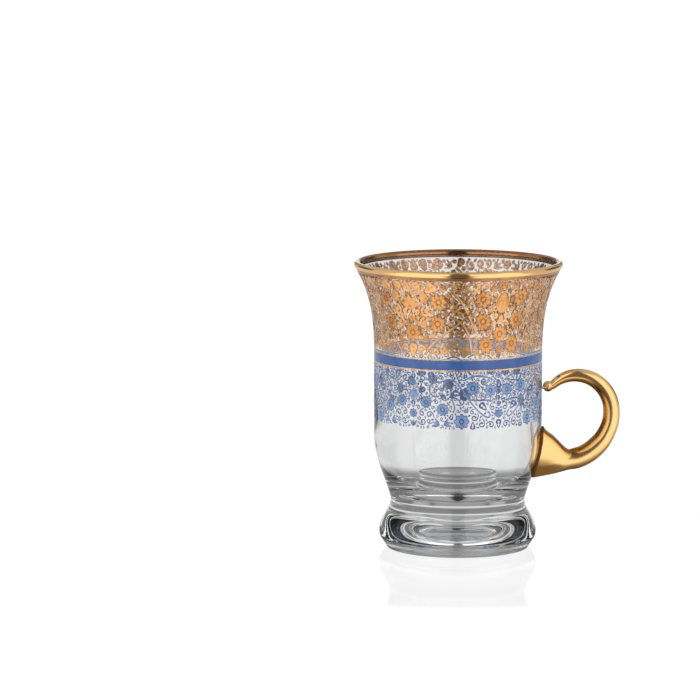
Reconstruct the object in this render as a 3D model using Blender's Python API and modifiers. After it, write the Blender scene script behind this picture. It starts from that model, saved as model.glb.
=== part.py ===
"""A clear glass for hot tea, with a gilt handle.

A turned cup with a flared lip stands on a waisted solid foot. A hook handle grows from
a wedge low on the wall and ends in a small ball just clear of it. The lip gilding, the
gold band, the blue stripe and the blue band are thin sleeves that lie flush in one
shallow recess of the wall.
"""

import math

import bmesh
import bpy
from mathutils import Vector

MM = 0.001

# Driving sizes of the whole, in millimetres
HEIGHT = 92.0
LIP_RADIUS = 33.3
HANDLE_REACH = 51.9
BODY_RADIUS = 26.8
WALL = 2.3

# The glass's axis stands off centre, so that the origin is under the middle of the whole
AXIS_X = (LIP_RADIUS - HANDLE_REACH) / 2

# Lip: a round bead on top of the flare
BEAD_RADIUS = 1.15
BEAD_CENTRE = (LIP_RADIUS - BEAD_RADIUS, HEIGHT - BEAD_RADIUS)
FLARE_TOP = 90.0
FLARE_START = 60.0
FLARE_OUT = 6.05

# Waist and foot
SHOULDER_TOP = 36.0
NECK_RADIUS = 21.4
NECK_HEIGHT = 15.0
FOOT_RADIUS = 25.05
FOOT_WIDEST = 5.2
CREASE = (24.8, 3.3)
BASE_RADIUS = 22.5
CONTACT_INNER_RADIUS = 21.0
HOLLOW_DEPTH = 5.0

# Inside of the cup: a low raised boss in the middle of its floor
BOSS_TOP = 25.2
BOSS_SHOULDER = (12.6, 23.6)
FLOOR_HEIGHT = 18.9
FLOOR_RADIUS = 14.6
INSIDE_CURVE_TOP = 34.0

# Printed and gilded sleeves
SLEEVE = 0.3
GAP = 0.3
STRIPE_TOP = 63.6
STRIPE_LOW = 60.3
BLUE_LOW = 41.6
GILT_INSIDE_ANGLE = 205.0
GILT_OUTSIDE_ANGLE = -48.0

# Handle loop, as seen from the front
LOOP_CENTRE = (36.8, 43.0)
LOOP_INNER_RADIUS = 9.7
LOOP_TIP_ANGLE = 127.0
LOOP_END_ANGLE = -88.0
TIP_THICKNESS = 3.0
LOOP_END_THICKNESS = 7.0
LOOP_SPREAD = 1.2
LOOP_SPREAD_FROM = -30.0
BALL_RADIUS = 1.75
BALL_CENTRE = (28.85, 51.6)

# Wedge between loop and wall: X, lower and upper edge, half the width, squareness
WEDGE = (
    (34.6, 24.3, 31.3, 3.3, 2.6),
    (32.0, 23.8, 34.0, 3.6, 3.2),
    (29.5, 23.3, 36.4, 3.9, 3.8),
    (27.2, 22.8, 38.2, 4.2, 4.5),
    (22.0, 21.6, 38.6, 4.2, 4.5),
)

TURN_STEPS = 60
FLARE_POINTS = 7
CURVE_POINTS = 6
RING_POINTS = 24
LOOP_RINGS = 18
BALL_RINGS = 4

MATERIALS = {
    "clear_glass": ((0.95, 0.97, 0.98, 1.0), 0.03, 0.0),
    "bright_gold": ((0.83, 0.55, 0.22, 1.0), 0.12, 1.0),
    "print_gold": ((0.70, 0.45, 0.20, 1.0), 0.38, 0.6),
    "stripe_blue": ((0.10, 0.22, 0.52, 1.0), 0.25, 0.0),
    "print_blue": ((0.22, 0.36, 0.62, 1.0), 0.30, 0.0),
}


def make_material(name):
    colour, roughness, metallic = MATERIALS[name]
    material = bpy.data.materials.new(name)
    material.use_nodes = True
    shader = material.node_tree.nodes["Principled BSDF"]
    shader.inputs["Base Color"].default_value = colour
    shader.inputs["Roughness"].default_value = roughness
    shader.inputs["Metallic"].default_value = metallic
    if name == "clear_glass":
        shader.inputs["Transmission Weight"].default_value = 1.0
        shader.inputs["IOR"].default_value = 1.52
    return material


def spread(first, last, count):
    """Evenly spaced values from first to last, both included."""
    return [first + (last - first) * step / (count - 1) for step in range(count)]


def bezier(start, leave, arrive, end, count):
    """Points of a cubic curve after its start, so that curves chain."""
    points = []
    for step in range(1, count + 1):
        t = step / count
        weights = ((1 - t) ** 3, 3 * t * (1 - t) ** 2, 3 * t * t * (1 - t), t**3)
        corners = list(zip(weights, (start, leave, arrive, end)))
        points.append(tuple(sum(w * p[axis] for w, p in corners) for axis in (0, 1)))
    return points


def arc(centre, radius, first_degrees, last_degrees, count):
    angles = [math.radians(a) for a in spread(first_degrees, last_degrees, count)]
    return [(centre[0] + radius * math.cos(a), centre[1] + radius * math.sin(a)) for a in angles]


def wall_radius(z):
    """Outer radius of the cup above the shoulder: a cylinder that opens as a cubic curve."""
    rise = max(0.0, z - FLARE_START) / (FLARE_TOP - FLARE_START)
    return BODY_RADIUS + FLARE_OUT * rise**3


def inside_outline():
    """From the middle of the boss across the floor and up to the lip."""
    middle = (0.0, BOSS_TOP)
    boss_foot = (FLOOR_RADIUS, FLOOR_HEIGHT)
    wall_foot = (BODY_RADIUS - WALL, INSIDE_CURVE_TOP)
    points = [middle]
    points += bezier(middle, (7.0, BOSS_TOP), (11.5, BOSS_TOP - 0.4), BOSS_SHOULDER, 3)
    points += bezier(BOSS_SHOULDER, (13.2, 22.8), (12.4, FLOOR_HEIGHT + 0.5), boss_foot, 3)
    along_floor = (FLOOR_RADIUS + 3.9, FLOOR_HEIGHT)
    down_wall = (wall_foot[0], INSIDE_CURVE_TOP - 10.0)
    points += bezier(boss_foot, along_floor, down_wall, wall_foot, CURVE_POINTS)
    heights = spread(FLARE_START, FLARE_TOP - 0.6, FLARE_POINTS)
    return points + [(wall_radius(z) - WALL, z) for z in heights]


def lip_outline(depth):
    """Over the lip, at this depth under the true surface."""
    return arc(BEAD_CENTRE, BEAD_RADIUS - depth, GILT_INSIDE_ANGLE, GILT_OUTSIDE_ANGLE, 9)


def waist_outline():
    """From the shoulder to the neck and out to the foot's widest place."""
    shoulder = (BODY_RADIUS, SHOULDER_TOP)
    neck = (NECK_RADIUS, NECK_HEIGHT)
    foot = (FOOT_RADIUS, FOOT_WIDEST)
    points = [shoulder]
    points += bezier(shoulder, (BODY_RADIUS, 28.0), (NECK_RADIUS, 18.0), neck, CURVE_POINTS + 2)
    points += bezier(neck, (NECK_RADIUS, 12.3), (FOOT_RADIUS, 8.9), foot, CURVE_POINTS)
    return points


def underside_outline():
    """From the crease round the foot's edge to the middle of the shallow hollow."""
    base = (BASE_RADIUS, 0.0)
    contact = (CONTACT_INNER_RADIUS, 0.0)
    middle = (0.0, HOLLOW_DEPTH)
    points = [CREASE]
    points += bezier(CREASE, (24.5, 2.2), (23.6, 0.8), base, 3)
    points += [contact]
    return points + bezier(contact, (18.5, 3.0), (13.0, HOLLOW_DEPTH), middle, 5)


def cup_outline():
    """The glass itself, recessed where gilding and print lie on it."""
    recess = SLEEVE + GAP
    heights = spread(FLARE_TOP, FLARE_START, FLARE_POINTS)
    recess_low = BLUE_LOW - GAP
    points = inside_outline()
    points += lip_outline(recess)
    points += [(wall_radius(z) - recess, z) for z in heights]
    points += [(BODY_RADIUS - recess, recess_low), (BODY_RADIUS, recess_low)]
    return points + waist_outline() + underside_outline()


def sleeve_outline(top, low, count):
    """A closed outline of a thin sleeve between two heights, down its outer side first."""
    heights = spread(top, low, count)
    outer = [(wall_radius(z), z) for z in heights]
    inner = [(wall_radius(z) - SLEEVE, z) for z in reversed(heights)]
    return outer + inner


def turned(name, outline, closed, collection, material=None):
    """Turns an outline of (radius, height) points about the glass's axis."""
    mesh = bpy.data.meshes.new(name)
    points = [(radius * MM, 0.0, height * MM) for radius, height in outline]
    edges = [(i, i + 1) for i in range(len(points) - 1)]
    if closed:
        edges.append((len(points) - 1, 0))
    mesh.from_pydata(points, edges, [])
    turned_object = bpy.data.objects.new(name, mesh)
    turned_object.location.x = AXIS_X * MM
    collection.objects.link(turned_object)
    if material:
        mesh.materials.append(material)
    screw = turned_object.modifiers.new("Turn", "SCREW")
    screw.steps = TURN_STEPS
    screw.render_steps = TURN_STEPS
    screw.use_merge_vertices = True
    screw.merge_threshold = 0.00001
    screw.use_smooth_shade = True
    return turned_object


def loop_stations():
    """Centre, inward direction, half thickness, half width and squareness along the hook."""
    stations = []
    turn = LOOP_TIP_ANGLE - LOOP_END_ANGLE
    for degrees in spread(LOOP_TIP_ANGLE, LOOP_END_ANGLE, LOOP_RINGS):
        along = (LOOP_TIP_ANGLE - degrees) / turn
        thickness = TIP_THICKNESS + (LOOP_END_THICKNESS - TIP_THICKNESS) * along
        opened = max(0.0, LOOP_SPREAD_FROM - degrees) / (LOOP_SPREAD_FROM - LOOP_END_ANGLE)
        radius = LOOP_INNER_RADIUS + LOOP_SPREAD * opened**2 + thickness / 2
        angle = math.radians(degrees)
        outward = Vector((math.cos(angle), math.sin(angle)))
        centre = Vector(LOOP_CENTRE) + outward * radius
        half_width = TIP_THICKNESS / 2 + 1.6 * along
        stations.append((centre, -outward, thickness / 2, half_width, 2.0 + 0.4 * along**2))
    return stations


def wedge_stations():
    stations = []
    for x, low, high, half_width, squareness in WEDGE:
        centre = Vector((x, (low + high) / 2))
        stations.append((centre, Vector((0.0, 1.0)), (high - low) / 2, half_width, squareness))
    return stations


def ball_stations(neck):
    """Rings of the ball at the tip, from its far pole to the neck."""
    centre = Vector(BALL_CENTRE)
    towards_neck = (neck - centre).normalized()
    inward = Vector((towards_neck.y, -towards_neck.x))
    stations = []
    for degrees in spread(160.0, 50.0, BALL_RINGS + 1):
        angle = math.radians(degrees)
        radius = BALL_RADIUS * math.sin(angle)
        place = centre + towards_neck * BALL_RADIUS * math.cos(angle)
        stations.append((place, inward, radius, radius, 2.0))
    return stations


def section_ring(mesh, station):
    """A ring of vertices on a superellipse that stands across the handle's path."""
    centre, inward, half_thickness, half_width, squareness = station
    power = 2.0 / squareness
    ring = []
    for step in range(RING_POINTS):
        angle = 2 * math.pi * step / RING_POINTS
        cosine = math.cos(angle)
        sine = math.sin(angle)
        across = half_thickness * math.copysign(abs(cosine) ** power, cosine)
        sideways = half_width * math.copysign(abs(sine) ** power, sine)
        place = centre + inward * across
        ring.append(mesh.verts.new((place.x * MM, sideways * MM, place.y * MM)))
    return ring


def bridge(mesh, first, second):
    for i in range(RING_POINTS):
        following = (i + 1) % RING_POINTS
        mesh.faces.new((first[i], first[following], second[following], second[i]))


def make_handle(collection, material, clearance):
    """A hook lofted from the ball at its tip to the wedge, which the cup's clearance trims."""
    loop = loop_stations()
    stations = ball_stations(loop[0][0]) + loop + wedge_stations()
    loft = bmesh.new()
    rings = [section_ring(loft, station) for station in stations]
    for first, second in zip(rings, rings[1:]):
        bridge(loft, first, second)
    loft.faces.new(rings[0])
    loft.faces.new(list(reversed(rings[-1])))
    bmesh.ops.recalc_face_normals(loft, faces=loft.faces)
    mesh = bpy.data.meshes.new("handle")
    loft.to_mesh(mesh)
    loft.free()
    mesh.shade_smooth()
    mesh.set_sharp_from_angle(angle=math.radians(50))
    mesh.materials.append(material)
    handle = bpy.data.objects.new("handle", mesh)
    handle.location.x = AXIS_X * MM
    collection.objects.link(handle)
    trim = handle.modifiers.new("Trim to the cup", "BOOLEAN")
    trim.operation = "DIFFERENCE"
    trim.object = clearance
    return handle


def make_clearance(collection):
    """The cup's outer shape grown by the gap, which trims the handle's root."""
    outline = [(0.0, BLUE_LOW + 2.0), (BODY_RADIUS + GAP, BLUE_LOW + 2.0)]
    outline += [(radius + GAP, height) for radius, height in waist_outline()]
    outline += [(0.0, FOOT_WIDEST)]
    clearance = turned("cup_clearance", outline, False, collection)
    clearance.hide_render = True
    clearance.display_type = "WIRE"
    return clearance


def clear_scene():
    for old in list(bpy.data.objects):
        bpy.data.objects.remove(old, do_unlink=True)


def make_collection(name):
    collection = bpy.data.collections.new(name)
    bpy.context.scene.collection.children.link(collection)
    return collection


def main():
    clear_scene()
    parts = make_collection("Tea glass")
    cutters = make_collection("Cutters")
    cutters.hide_render = True
    glass, gold, print_gold, stripe, print_blue = [make_material(name) for name in MATERIALS]
    half_gap = GAP / 2
    turned("glass_body", cup_outline(), False, parts, glass)
    gilding = lip_outline(0.0) + list(reversed(lip_outline(SLEEVE)))
    turned("rim_gilding", gilding, True, parts, gold)
    gold_top = FLARE_TOP - GAP
    gold_band = sleeve_outline(gold_top, STRIPE_TOP + half_gap, FLARE_POINTS)
    turned("gold_band", gold_band, True, parts, print_gold)
    blue_stripe = sleeve_outline(STRIPE_TOP - half_gap, STRIPE_LOW + half_gap, 2)
    turned("blue_stripe", blue_stripe, True, parts, stripe)
    blue_band = sleeve_outline(STRIPE_LOW - half_gap, BLUE_LOW, 4)
    turned("blue_band", blue_band, True, parts, print_blue)
    make_handle(parts, gold, make_clearance(cutters))


main()
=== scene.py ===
# %% [markdown]
# # A gilded and printed tea glass
#
# This notebook dresses the packed model of a handled tea glass: a clear waisted cup with gold over
# its lip, a broad print of gold scrollwork, a blue ring, a band of blue scrollwork and a gilt hook
# for a handle. The packed solids say where everything is. Each step looks at one piece or finish of
# the real glass, says how it could be made, and why one way was chosen.

# %% Load the packed model
import math

import bmesh
import bpy
import numpy as np
from mathutils import Matrix, Vector


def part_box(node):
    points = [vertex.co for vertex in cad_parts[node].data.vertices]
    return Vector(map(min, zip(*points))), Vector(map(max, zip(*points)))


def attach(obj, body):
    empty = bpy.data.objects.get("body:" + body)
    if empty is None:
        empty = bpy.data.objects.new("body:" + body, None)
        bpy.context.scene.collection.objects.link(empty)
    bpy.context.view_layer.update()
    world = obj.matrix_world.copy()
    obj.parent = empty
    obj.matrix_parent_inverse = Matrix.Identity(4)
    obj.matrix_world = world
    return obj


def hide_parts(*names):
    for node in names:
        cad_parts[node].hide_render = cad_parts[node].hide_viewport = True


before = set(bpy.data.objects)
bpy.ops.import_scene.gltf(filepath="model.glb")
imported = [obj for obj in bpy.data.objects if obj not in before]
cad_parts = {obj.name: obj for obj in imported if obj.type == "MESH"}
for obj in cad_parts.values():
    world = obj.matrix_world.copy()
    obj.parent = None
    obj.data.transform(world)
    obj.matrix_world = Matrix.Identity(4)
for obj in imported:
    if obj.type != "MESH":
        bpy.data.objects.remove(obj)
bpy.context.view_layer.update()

print("nodes:", ", ".join(sorted(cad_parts)))

# %% [markdown]
# ## Sizes
#
# A turned glass is a profile and an axis. Both could be typed in again, but then they could drift
# from the solids. So the axis, the radii and the heights of the bands are read from the boxes of
# the packed nodes, and only what a box can't say, such as how the lip opens, is a named size. All
# modelling below is in millimetres with the glass's axis at x = 0. A piece is moved and scaled to
# metres when it is finished.

# %% Sizes read from the frame
MM = 0.001


def extent(node):
    """Lowest and highest corner of a packed node, in millimetres."""
    low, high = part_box(node)
    return low / MM, high / MM


rim_low, rim_high = extent("rim_gilding")
ring_low, ring_high = extent("blue_stripe")
gold_low, gold_high = extent("gold_band")
blue_low, blue_high = extent("blue_band")
AXIS_X = (rim_low.x + rim_high.x) / 2
LIP_RADIUS = (rim_high.x - rim_low.x) / 2
HEIGHT = rim_high.z
BODY_RADIUS = (ring_high.x - ring_low.x) / 2
print(f"axis at x = {AXIS_X:.2f} mm, lip radius {LIP_RADIUS:.2f}, body radius {BODY_RADIUS:.2f}")

# %% Sizes of the profile
WALL = 2.3
BEAD_RADIUS = 1.15
BEAD_CENTRE = (LIP_RADIUS - BEAD_RADIUS, HEIGHT - BEAD_RADIUS)
BEAD_ANGLES = (205.0, -48.0)
FLARE_START = 60.0
FLARE_TOP = 90.0
FLARE_OUT = 6.05
SHOULDER_TOP = 36.0
NECK = (21.4, 15.0)
FOOT_WIDEST = (25.05, 5.2)
CREASE = (24.75, 3.35)
CHAMFER_TOP = (24.35, 2.75)
BASE_RADIUS = 22.6
CHAMFER_FOOT = (BASE_RADIUS + 0.25, 0.5)
CONTACT_RADIUS = 21.0
CONTACT_HEIGHT = 0.06
HOLLOW_DEPTH = 7.5
BOSS_TOP = 25.2
BOSS_EDGE = (11.8, BOSS_TOP - 0.5)
BOSS_SHOULDER = (12.6, 23.6)
BOSS_FOOT = (14.2, 17.4)
INSIDE_CURVE_TOP = 34.0
PRINT_DEPTH = 0.1


def wall_radius(height):
    """Outer radius above the shoulder: a cylinder that opens as a cubic curve."""
    rise = max(0.0, height - FLARE_START) / (FLARE_TOP - FLARE_START)
    return BODY_RADIUS + FLARE_OUT * rise**3


print(f"the wall opens from {wall_radius(50):.1f} to {wall_radius(90):.1f} mm radius")

# %% [markdown]
# ## A small language for shaders
#
# Node trees are tiring to read when every Math node takes four lines. A wrapped socket that knows
# plus, minus and times lets a mask be written as a sum, and one method adds every other kind of
# node: its settings first, then the values or links of its sockets. The few nodes that come up
# again and again get a short name of their own on top of that method.


# %% Sockets that take part in sums
class Wire:
    """The output of a node, which can be added, multiplied and compared like a number."""

    def __init__(self, graph, socket):
        self.graph = graph
        self.socket = socket

    def math(self, operation, *values):
        return self.graph.node("Math", {"operation": operation}, dict(enumerate(values)))

    def __add__(self, other):
        return self.math("ADD", self, other)

    def __radd__(self, other):
        return self.math("ADD", other, self)

    def __sub__(self, other):
        return self.math("SUBTRACT", self, other)

    def __rsub__(self, other):
        return self.math("SUBTRACT", other, self)

    def __mul__(self, other):
        return self.math("MULTIPLY", self, other)

    def __rmul__(self, other):
        return self.math("MULTIPLY", other, self)

    def __lt__(self, other):
        return self.math("LESS_THAN", self, other)

    def at_least(self, other):
        return self.math("MAXIMUM", self, other)

    def size(self):
        return self.math("ABSOLUTE", self)

    def between(self, low, high):
        """Rises smoothly from 0 at low to 1 at high."""
        settings = {"interpolation_type": "SMOOTHSTEP"}
        return self.graph.node("MapRange", settings, {0: self, 1: low, 2: high})


print("a wire knows:", ", ".join(sorted(name for name in vars(Wire) if name[0] != "_")))


# %% Node trees
class Graph:
    """A node tree, with one method for every kind of node."""

    def __init__(self, tree):
        self.tree = tree

    def node(self, kind, settings=None, values=None, output=0):
        made = self.tree.nodes.new("ShaderNode" + kind)
        for name, value in (settings or {}).items():
            setattr(made, name, value)
        self.feed(made, values or {})
        return Wire(self, made.outputs[output])

    def feed(self, node, values):
        """Sets or links sockets of a node."""
        for name, value in values.items():
            if isinstance(value, Wire):
                self.tree.links.new(value.socket, node.inputs[name])
            else:
                node.inputs[name].default_value = value

    def mix(self, share, first, second):
        """A colour between two colours."""
        return self.node("Mix", {"data_type": "RGBA"}, {0: share, 6: first, 7: second}, 2)

    def noise(self, place, scale, detail):
        return self.node("TexNoise", {}, {"Vector": place, "Scale": scale, "Detail": detail})

    def vector(self, operation, *vectors, output="Vector"):
        return self.node("VectorMath", {"operation": operation}, dict(enumerate(vectors)), output)

    def parts(self, vector):
        """The x, y and z of a vector."""
        split = self.node("SeparateXYZ", {}, {0: vector}).socket.node
        return [Wire(self, socket) for socket in split.outputs]

    def bump(self, strength, depth, height):
        values = {"Strength": strength, "Distance": depth, "Height": height}
        return self.node("Bump", {}, values)


print("a graph knows:", ", ".join(sorted(name for name in vars(Graph) if name[0] != "_")))

# %% [markdown]
# ## Colours and finishes
#
# Colours are easiest to compare with a picture as the 0 to 255 that a screen shows, while a shader
# wants light itself, so one helper turns the first into the second. A finish starts from the
# Principled shader: what is the same all over goes straight on its sockets, and only what changes
# over the surface gets nodes. Every pattern reads the place on the object itself.


# %% Colours and the start of a finish
def screen(red, green, blue):
    """A colour as a screen shows it, turned to the linear light that a shader takes."""
    channels = [value / 255 for value in (red, green, blue)]
    light = [c / 12.92 if c < 0.04045 else ((c + 0.055) / 1.055) ** 2.4 for c in channels]
    return (*light, 1.0)


def start_finish(name, **uniform):
    """A material with a Principled shader, its graph, that shader, and the place on the object."""
    material = bpy.data.materials.new(name)
    material.use_nodes = True
    graph = Graph(material.node_tree)
    shader = material.node_tree.nodes["Principled BSDF"]
    graph.feed(shader, {socket.replace("_", " "): value for socket, value in uniform.items()})
    return material, graph, shader, graph.node("TexCoord", output="Object")


print("a mid grey of 128 is", round(screen(128, 128, 128)[0], 3), "in light")

# %% [markdown]
# ### Clear glass
#
# The cup is soda lime glass, pressed and then polished in the flame. The light is bent by the real
# thickness of the mesh, so the finish needs only full transmission and the right refractive index.
# Fire polished glass isn't quite even, though: very faint smears roughen it here and there, and
# long shallow waves bend what is seen through it, more so in the thick foot. The chamfer at the
# foot was ground and never polished again, which shows as an even grey band.

# %% Finish of the clear glass
AXIS_POINT = (AXIS_X * MM, 0.0, 0.0)
SODA_LIME = {"Transmission_Weight": 1.0, "IOR": 1.52}
FAINT_TINT = (0.985, 0.99, 0.99, 1)
CLEAREST = (1, 1, 1, 1)
GROUND_ROUGHNESS = 0.3
SMEAR_SCALE, SMEAR_EDGES, SMEAR_ROUGHNESS = 90.0, (0.52, 0.9), 0.012
LONG_WAVES, LONG_WAVE_SHARE = 60.0, 0.4
FOOT_WAVES, FOOT_WAVE_SHARE = 130.0, 0.8
FOOT_ENDS = (0.016, 0.028)
WAVE_STRENGTH, WAVE_DEPTH = 0.3, 0.00025


def clear_glass():
    material, graph, shader, place = start_finish("clear glass", **SODA_LIME)
    height = graph.parts(place)[2]
    away = graph.vector("LENGTH", graph.vector("SUBTRACT", place, AXIS_POINT), output="Value")
    below_crease = 1.0 - height.between((CREASE[1] - 0.25) * MM, CREASE[1] * MM)
    outside_base = away.between((BASE_RADIUS - 0.1) * MM, BASE_RADIUS * MM)
    ground = below_crease * GROUND_ROUGHNESS * outside_base
    smears = graph.noise(place, SMEAR_SCALE, 4.0)
    in_foot = 1.0 - height.between(*FOOT_ENDS)
    waves = graph.noise(place, LONG_WAVES, 0.0) * LONG_WAVE_SHARE
    waves = waves + graph.noise(place, FOOT_WAVES, 0.0) * in_foot * FOOT_WAVE_SHARE
    graph.feed(shader, {
        "Base Color": graph.mix(smears, FAINT_TINT, CLEAREST),
        "Roughness": ground + smears.between(*SMEAR_EDGES) * SMEAR_ROUGHNESS,
        "Normal": graph.bump(WAVE_STRENGTH, WAVE_DEPTH, waves),
    })
    return material


CLEAR = clear_glass()
print("finish:", CLEAR.name)

# %% [markdown]
# ### Print that has two faces
#
# The scrollwork is screen printed and fired onto the outside. From outside it shows a satin face;
# through the glass one sees the underside of the same ink, which is duller and browner, since it
# lies on glass and not in air; the inks further on also make it paler, as painted light. The two
# could be two materials, but the sign of one product, the surface normal times the direction away
# from the axis, tells the sides apart on any piece.


# %% Which side of a print is seen
def underside(graph, place):
    """1 on faces that look towards the glass's axis, 0 on those that look away from it."""
    away = graph.vector("SUBTRACT", place, AXIS_POINT)
    level = graph.vector("MULTIPLY", away, (1.0, 1.0, 0.0))
    normal = graph.node("NewGeometry", output="Normal")
    return graph.vector("DOT_PRODUCT", level, normal, output="Value") < 0.0


print("the underside of any print can be told")

# %% [markdown]
# ### Bright gold
#
# Lip and handle are painted with liquid bright gold, which fires to a thin mirror on the glass. A
# mirror takes its look from the room, so the finish is a warm metal with little roughness. Brush
# marks and thin places change its colour slightly and soften the mirror a little. Where the hook
# faces its own loop, its colour is darkened to orange as a painted reflection of gold in gold, and
# where it looks down as painted shade. On the lip it is the back of the gold, seen through the
# glass, that has a colour of its own.

# %% Finish of the burnished gilding
THIN_GOLD = (0.87, 0.52, 0.20, 1)
FULL_GOLD = (0.93, 0.60, 0.26, 1)
# Painted reflection and shade: the hook's colour goes to this orange facing its loop and looking
# down.
PAINTED_GOLD_REFLECTION = (0.42, 0.175, 0.026, 1)
GILDING_PATCHES, PATCH_ROUGHNESS = 140.0, 0.05
FACING_LOOP = (-0.2, 0.45)
FACING_DOWN, LOWER_SIDE_PAINTED_SHADE = (0.1, 0.5), 0.75


def bright_gold(name, smooth, beneath=None, painted_reflection_round=None):
    """Gold with a colour beneath it; given a point in mm, painted reflection facing it, painted
    shade below.
    """
    material, graph, shader, place = start_finish(name, Metallic=1.0)
    patches = graph.noise(place, GILDING_PATCHES, 3.0)
    colour = graph.mix(patches, THIN_GOLD, FULL_GOLD)
    if beneath:
        colour = graph.mix(underside(graph, place), colour, beneath)
    if painted_reflection_round:
        # Painted reflection of gold in gold facing the loop, and painted shade where the hook looks
        # down.
        point = tuple(value * MM for value in painted_reflection_round)
        inward = graph.vector("NORMALIZE", graph.vector("SUBTRACT", point, place))
        normal = graph.node("NewGeometry", output="Normal")
        facing = graph.vector("DOT_PRODUCT", inward, normal, output="Value")
        painted_shade_below = (0.0 - graph.parts(normal)[2]).between(*FACING_DOWN) * LOWER_SIDE_PAINTED_SHADE
        painted_reflection_and_shade = facing.between(*FACING_LOOP).at_least(painted_shade_below)
        colour = graph.mix(painted_reflection_and_shade, colour, PAINTED_GOLD_REFLECTION)
    graph.feed(shader, {"Base Color": colour, "Roughness": smooth + patches * PATCH_ROUGHNESS})
    return material


LOOP_CENTRE = Vector((36.8, 43.0))
HOOK_GOLD = bright_gold("bright gold", 0.12,
                        painted_reflection_round=(AXIS_X + LOOP_CENTRE.x, 0.0, LOOP_CENTRE.y))
LIP_GOLD = bright_gold("bright gold of the lip", 0.05, beneath=screen(176, 116, 64))
print("finishes:", HOOK_GOLD.name, "and", LIP_GOLD.name)

# %% Finish of the hook's root
BARE_END = screen(128, 124, 120)
DARK_BACK = screen(88, 62, 42)
STREAK_GOLD = screen(176, 128, 76)
EDGE_GOLD = screen(222, 170, 100)
SEAM_BROWN = screen(122, 72, 34)
BARE_END_TOP = (0.026, 0.030)
EDGE_START = (0.0362, 0.0368)
STREAK_SCALE, STREAK_EDGES, STREAK_SHARE = 320.0, (0.5, 0.62), 0.6


def root_gold():
    """Dull brown gold at the seam, darker and greyer towards the middle and the foot of the cap."""
    material, graph, shader, place = start_finish("gold of the root", Roughness=0.6,
                                                  Specular_IOR_Level=0.0)
    height = graph.parts(place)[2]
    streaks = graph.noise(place, STREAK_SCALE, 2.0).between(*STREAK_EDGES) * STREAK_SHARE
    cap = graph.mix(height.between(*BARE_END_TOP), BARE_END, DARK_BACK)
    cap = graph.mix(streaks, cap, STREAK_GOLD)
    cap = graph.mix(height.between(*EDGE_START), cap, EDGE_GOLD)
    graph.feed(shader, {"Base Color": graph.mix(underside(graph, place), SEAM_BROWN, cap)})
    return material


ROOT_GOLD = root_gold()
print("finish:", ROOT_GOLD.name)

# %% [markdown]
# ### The inks
#
# Gold and blue are inks of the same kind: uneven in colour from patch to patch, with a fine grain
# that roughens the gloss and the surface. The gold has fine metal in it, and its back is speckled.
# The backs of the inks are made paler, and the back of the blue also glows a little: both are
# painted light, standing in for light that comes through the enamel from outside, which a thin
# opaque layer can't pass on.

# %% Finish of the prints
GRAIN_DEPTH = 0.00002
PATCH_EDGES = (0.3, 0.7)
SPECKLE_SCALE, SPECKLE_EDGES, SPECKLE_SHADE = 1500.0, (0.46, 0.58), 0.4
BLACK = (0, 0, 0, 1)
GOLD = {"metal": 0.8, "patches": 260.0, "grain": 3500.0, "uneven": 0.12, "relief": 0.2}
BLUE = {"metal": 0.0, "patches": 300.0, "grain": 4000.0, "uneven": 0.10, "relief": 0.25}


def printed_ink(name, kind, roughness, glow, low, high, beneath):
    """Ink between a low and a high colour on its face; beneath, a paler colour and a glow, painted
    light.
    """
    low, high, beneath = screen(*low), screen(*high), screen(*beneath)
    material, graph, shader, place = start_finish(name, Metallic=kind["metal"],
                                                  Emission_Strength=glow)
    inside = underside(graph, place)
    patches = graph.noise(place, kind["patches"], 3.0)
    grain = graph.noise(place, kind["grain"], 2.0)
    face = graph.mix(patches.between(*PATCH_EDGES), low, high)
    back = beneath
    if kind is GOLD:
        shaded = tuple(SPECKLE_SHADE * value for value in beneath[:3]) + (1.0,)
        speckles = graph.noise(place, SPECKLE_SCALE, 1.0).between(*SPECKLE_EDGES)
        back = graph.mix(speckles, beneath, shaded)
    graph.feed(shader, {
        "Base Color": graph.mix(inside, face, back),
        "Roughness": roughness + grain * kind["uneven"],
        "Normal": graph.bump(kind["relief"], GRAIN_DEPTH, grain),
    })
    # Painted light: the back of the ink glows, standing in for light that comes through the enamel.
    if glow:
        graph.feed(shader, {"Emission Color": graph.mix(inside, BLACK, beneath)})
    return material


# Inks: name, kind, roughness, glow (painted light on the back), low and high colour of the face,
# colour beneath (the ink's back, made paler with painted light).
GOLD_BACK_WITH_PAINTED_LIGHT = (206, 152, 104)
INKS = (
    ("gold ink", GOLD, 0.20, 0.0, (178, 116, 64), (204, 142, 86), GOLD_BACK_WITH_PAINTED_LIGHT),
    ("deep gold ink", GOLD, 0.20, 0.0, (148, 92, 46), (174, 112, 60), GOLD_BACK_WITH_PAINTED_LIGHT),
    ("warm gold ink", GOLD, 0.20, 0.0, (194, 134, 76), (224, 164, 102), GOLD_BACK_WITH_PAINTED_LIGHT),
    ("pale gold ink", GOLD, 0.20, 0.0, (212, 154, 94), (240, 186, 126), (214, 162, 114)),
    ("blue ink", BLUE, 0.35, 0.16, (116, 152, 202), (156, 184, 220), (140, 172, 216)),
    ("blue stroke ink", BLUE, 0.35, 0.16, (72, 96, 156), (90, 116, 174), (108, 132, 180)),
    ("navy ink", BLUE, 0.35, 0.16, (56, 76, 132), (70, 94, 150), (104, 126, 172)),
    ("ring enamel", BLUE, 0.2, 0.4, (50, 86, 150), (62, 102, 166), (100, 164, 220)),
)
inks = [printed_ink(*row) for row in INKS]
GOLD_INK, DEEP_GOLD, WARM_GOLD, PALE_GOLD, BLUE_INK, STROKE_BLUE, NAVY_INK, RING_BLUE = inks
print("finishes:", ", ".join(material.name for material in bpy.data.materials))

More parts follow.
